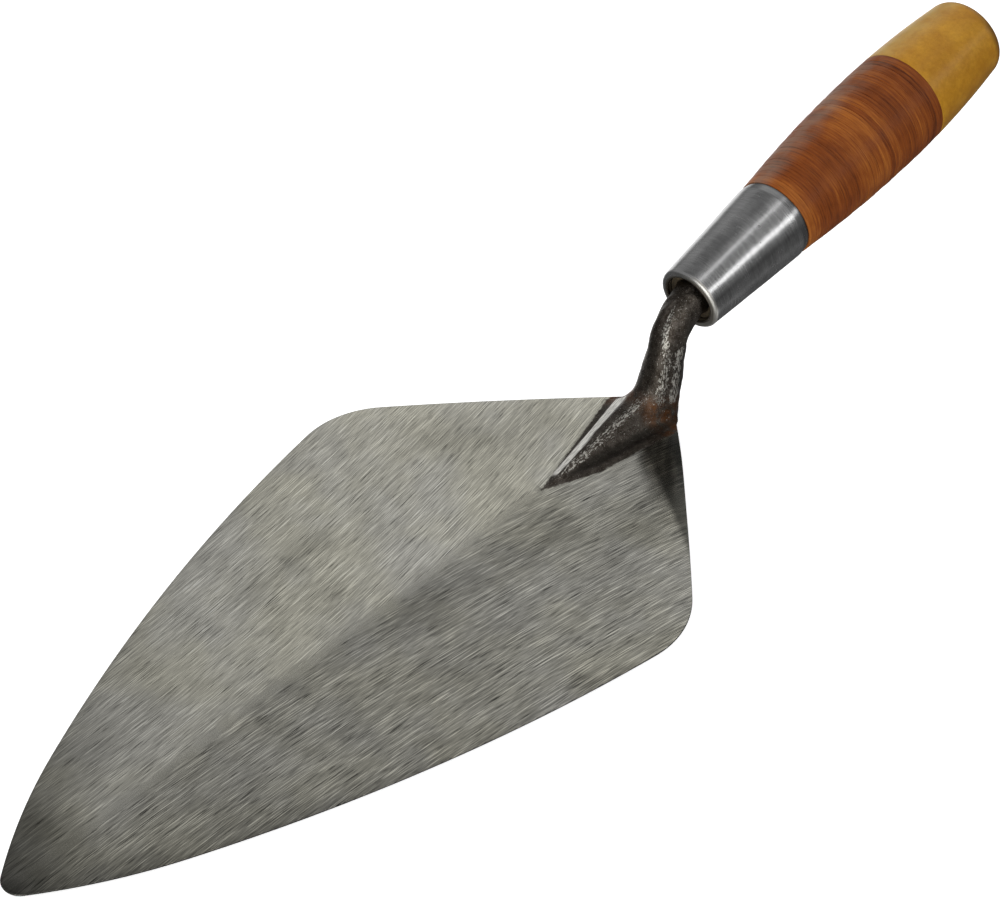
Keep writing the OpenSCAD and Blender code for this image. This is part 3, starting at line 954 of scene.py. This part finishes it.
def leather_material():
    """Edges of packed leather: fine layers running around, one tone to each washer, waxed."""
    material, shade = new_material("stacked_leather")
    position = shade.position()
    along, over, left, _ = shade.along_and_around(position)
    tone = shade.node("Attribute", {}, attribute_type="OBJECT", attribute_name='["tone"]').outputs["Fac"]
    shift = shade.times(tone, 30.0)

    def layered(lengthwise, around, detail, roughness):
        """Noise with its own scales along and around the grip, different in each washer."""
        place = shade.combine(
            shade.add(shade.times(along, lengthwise), shift), shade.times(over, around),
            shade.times(left, around))
        return shade.noise(place, 1.0, detail, roughness)

    layers = layered(2.1, 1.4, 4.0, 0.65)
    hair = layered(6.5, 5.0, 3.0, 0.6)
    seams = layered(3.0, 0.7, 2.0, 0.5)
    blotch = shade.noise(position, 0.09, 3.0, 0.6)
    light_band = shade.times(
        shade.ramp(along, 66.0, 71.0), shade.ramp(along, 84.0, 77.0), shade.ramp(left, -0.5, 0.1))
    darker_rear = shade.ramp(along, 84.0, 106.0)
    level = shade.weighted(
        -0.74, (tone, 0.34), (layers, 1.15), (hair, 0.45), (blotch, 0.55), (light_band, 0.20),
        (darker_rear, -0.16))
    dark = shade.mix(shade.ramp(level, 0.0, 0.45), (0.055, 0.012, 0.003, 1.0), (0.215, 0.052, 0.009, 1.0))
    colour = shade.mix(shade.ramp(level, 0.40, 0.95), dark, (0.430, 0.140, 0.024, 1.0))
    colour = shade.mix(shade.times(shade.ramp(seams, 0.60, 0.70), 0.6), colour, (0.035, 0.010, 0.004, 1.0))
    # Painted sheen: paler along the side that faces up and to the right.
    painted_sheen = shade.times(
        shade.ramp(left, 0.05, -0.5), shade.ramp(over, 0.1, -0.5),
        shade.ramp(shade.noise(position, 0.12, 3.0, 0.5), 0.20, 0.70))
    colour = shade.mix(shade.times(painted_sheen, 0.6), colour, (0.27, 0.20, 0.155, 1.0))
    roughness = shade.weighted(0.42, (hair, 0.16), (blotch, 0.08))
    relief = shade.bump(shade.weighted(0.0, (layers, 0.6), (hair, 0.5)), 0.10)
    shade.surface(
        Base_Color=colour, Roughness=roughness, Normal=relief, Coat_Weight=0.10, Coat_Roughness=0.30,
        Specular_IOR_Level=0.16)
    return material


def amber_material():
    """Honey-coloured resin with cloudy mottling under a thin polish."""
    material, shade = new_material("amber_resin")
    position = shade.position()
    cloud = shade.noise(position, 0.10, 4.0, 0.6)
    fleck = shade.noise(position, 0.75, 4.0, 0.65)
    dust = shade.noise(position, 3.2, 2.0, 0.5)
    level = shade.weighted(-0.55, (cloud, 1.1), (fleck, 0.65), (dust, 0.25))
    colour = shade.mix(shade.ramp(level, 0.1, 0.9), (0.39, 0.166, 0.009, 1.0), (0.60, 0.305, 0.025, 1.0))
    specks = shade.ramp(shade.noise(position, 1.6, 2.0, 0.5), 0.70, 0.76)
    along, over, left, radius = shade.along_and_around(position)
    # Painted sheen: paler on the side that faces up and to the right.
    painted_sheen = shade.times(
        shade.ramp(left, 0.10, -0.55), shade.ramp(over, 0.1, -0.5), shade.ramp(cloud, 0.15, 0.65))
    colour = shade.mix(shade.times(painted_sheen, 0.55), colour, (0.56, 0.42, 0.17, 1.0))
    # Painted shade: a dark rim on the end's rounding, on its shaded side; the brown specks are real.
    painted_rim_shade = shade.times(
        shade.ramp(along, 143.5, 146.5), shade.ramp(radius, 9.5, 11.5), shade.ramp(left, 0.1, 0.9),
        shade.ramp(cloud, 0.25, 0.5))
    specks_and_shade = shade.math("MAXIMUM", shade.times(specks, 0.4), shade.times(painted_rim_shade, 0.7))
    colour = shade.mix(specks_and_shade, colour, (0.10, 0.042, 0.008, 1.0))
    roughness = shade.weighted(0.30, (fleck, 0.16))
    relief = shade.bump(shade.weighted(0.0, (fleck, 0.6), (dust, 0.4)), 0.05)
    shade.surface(
        Base_Color=colour, Roughness=roughness, Normal=relief, Coat_Weight=0.10, Coat_Roughness=0.22,
        Specular_IOR_Level=0.3, Subsurface_Weight=0.12, Subsurface_Scale=0.002,
        Subsurface_Radius=(1.0, 0.5, 0.15))
    return material


def floor_material():
    """Plain near-white paper that keeps only a faint shadow."""
    material, shade = new_material("floor_paper")
    fibre = shade.noise(shade.position(), 0.4, 3.0)
    colour = shade.mix(fibre, grey(0.86), grey(0.90))
    paper = shade.node("BsdfDiffuse", {"Color": colour}).outputs[0]
    glow = shade.node("Emission", {"Color": grey(1.0), "Strength": 0.70}).outputs[0]
    both = shade.node("AddShader", {0: paper, 1: glow}).outputs[0]
    shade.node("OutputMaterial", {"Surface": both})
    return material


# ---------------------------------------------------------------- pieces

build_forging(steel_material())
build_ferrule(ferrule_material())
build_plug(wood_material())
build_washers(leather_material())
build_cap(amber_material())


# ---------------------------------------------------------------- floor, light and camera


def add_floor():
    """A pale floor just under the blade, seen by the camera but not mirrored in the steel."""
    half = 3000.0
    corners = [(-half, -half), (half, -half), (half, half), (-half, half)]
    floor = make_object("floor", [(x, y, -0.4) for x, y in corners], [(0, 1, 2, 3)], floor_material())
    floor.visible_glossy = False
    floor.visible_diffuse = False


def add_softbox(name, target, direction, distance, size, power, mirrored=True):
    """A rectangular area light, aimed at a target from a direction, its long side along the handle."""
    data = bpy.data.lights.new(name, "AREA")
    data.shape = "RECTANGLE"
    data.size, data.size_y = size
    data.energy = power
    light = bpy.data.objects.new(name, data)
    back = Vector(unit(direction))
    across = Vector(handle_along.tolist()).cross(back).normalized()
    along = back.cross(across)
    turn = Matrix((along, -across, back)).transposed().to_4x4()
    light.matrix_world = Matrix.Translation(Vector(target) * MM + back * distance) @ turn
    light.visible_glossy = mirrored
    bpy.context.scene.collection.objects.link(light)


# Wide glows around the studio: where from, the angles where full and where gone, and the strength.
GLOWS = [
    ((-0.75, -0.35, 0.56), 14, 34, 0.42),
    ((-0.48, -0.72, -0.50), 12, 30, 1.0),
    ((-0.27, -0.47, 0.84), 8, 28, -0.14),
    ((-0.40, 0.90, 0.16), 6, 20, -0.10),
    ((0.86, 0.45, 0.23), 8, 30, 2.2),
    ((0.63, 0.64, -0.44), 6, 24, 0.8),
    ((-0.25, 0.68, -0.68), 6, 20, 0.6),
]


def add_world():
    """A soft studio: a pale dome over a dimmer lower half, with a few wide glows."""
    world = bpy.data.worlds.new("studio")
    bpy.context.scene.world = world
    world.use_nodes = True
    shade = Shader(world.node_tree)
    direction = shade.node("TexCoord", {}).outputs["Generated"]
    _, _, up = shade.split(direction)

    def glow(towards, inner, outer, strength):
        """Light from around a direction: full inside one angle, none outside another."""
        cosine = shade.dot(direction, unit(towards))
        lit = shade.ramp(cosine, math.cos(math.radians(outer)), math.cos(math.radians(inner)))
        return shade.times(lit, strength)

    dome = shade.ramp(up, -0.15, 0.25, 0.09, 0.25)
    strength = shade.add(dome, *(glow(*place) for place in GLOWS))
    background = shade.node("Background", {"Color": grey(1.0), "Strength": strength})
    shade.node("OutputWorld", {"Surface": background.outputs[0]})


# The camera's place, the direction it looks in (azimuth and drop), its roll, and its lens in millimetres.
CAMERA_PLACE = (638.71, 448.23, 653.20)
CAMERA_AZIMUTH = -141.222
CAMERA_DROP = 40.957
CAMERA_ROLL = 3.390
CAMERA_LENS = 115.2


def add_camera():
    """The camera of the product view, a long lens over the toe's left side."""
    azimuth, drop, roll = (math.radians(a) for a in (CAMERA_AZIMUTH, CAMERA_DROP, CAMERA_ROLL))
    data = bpy.data.cameras.new("camera")
    data.sensor_width = 36
    data.lens = CAMERA_LENS
    data.clip_end = 20
    camera = bpy.data.objects.new("camera", data)
    look = Vector((math.cos(drop) * math.cos(azimuth), math.cos(drop) * math.sin(azimuth), -math.sin(drop)))
    aim = look.to_track_quat("-Z", "Y").to_matrix().to_4x4() @ Matrix.Rotation(roll, 4, "Z")
    camera.matrix_world = Matrix.Translation(Vector(CAMERA_PLACE) * MM) @ aim
    bpy.context.scene.collection.objects.link(camera)
    bpy.context.scene.camera = camera


add_floor()
add_world()
# Two narrow strips that draw the highlights along the steel, and two large lights that it doesn't mirror.
grip_middle = (mouth + 60 * handle_along).tolist()
add_softbox("strip_over", grip_middle, (-0.22, 0.20, 0.955), 0.9, (1.0, 0.14), 0.32)
add_softbox("strip_left", grip_middle, (-0.31, 0.77, 0.56), 0.9, (1.0, 0.17), 0.95)
add_softbox("key", grip_middle, (0.35, -0.75, 0.55), 1.6, (1.0, 1.0), 16, mirrored=False)
add_softbox("fill", grip_middle, (0.50, 0.80, 0.15), 1.6, (1.0, 1.0), 9, mirrored=False)
add_camera()
bpy.context.scene.view_settings.view_transform = "Standard"
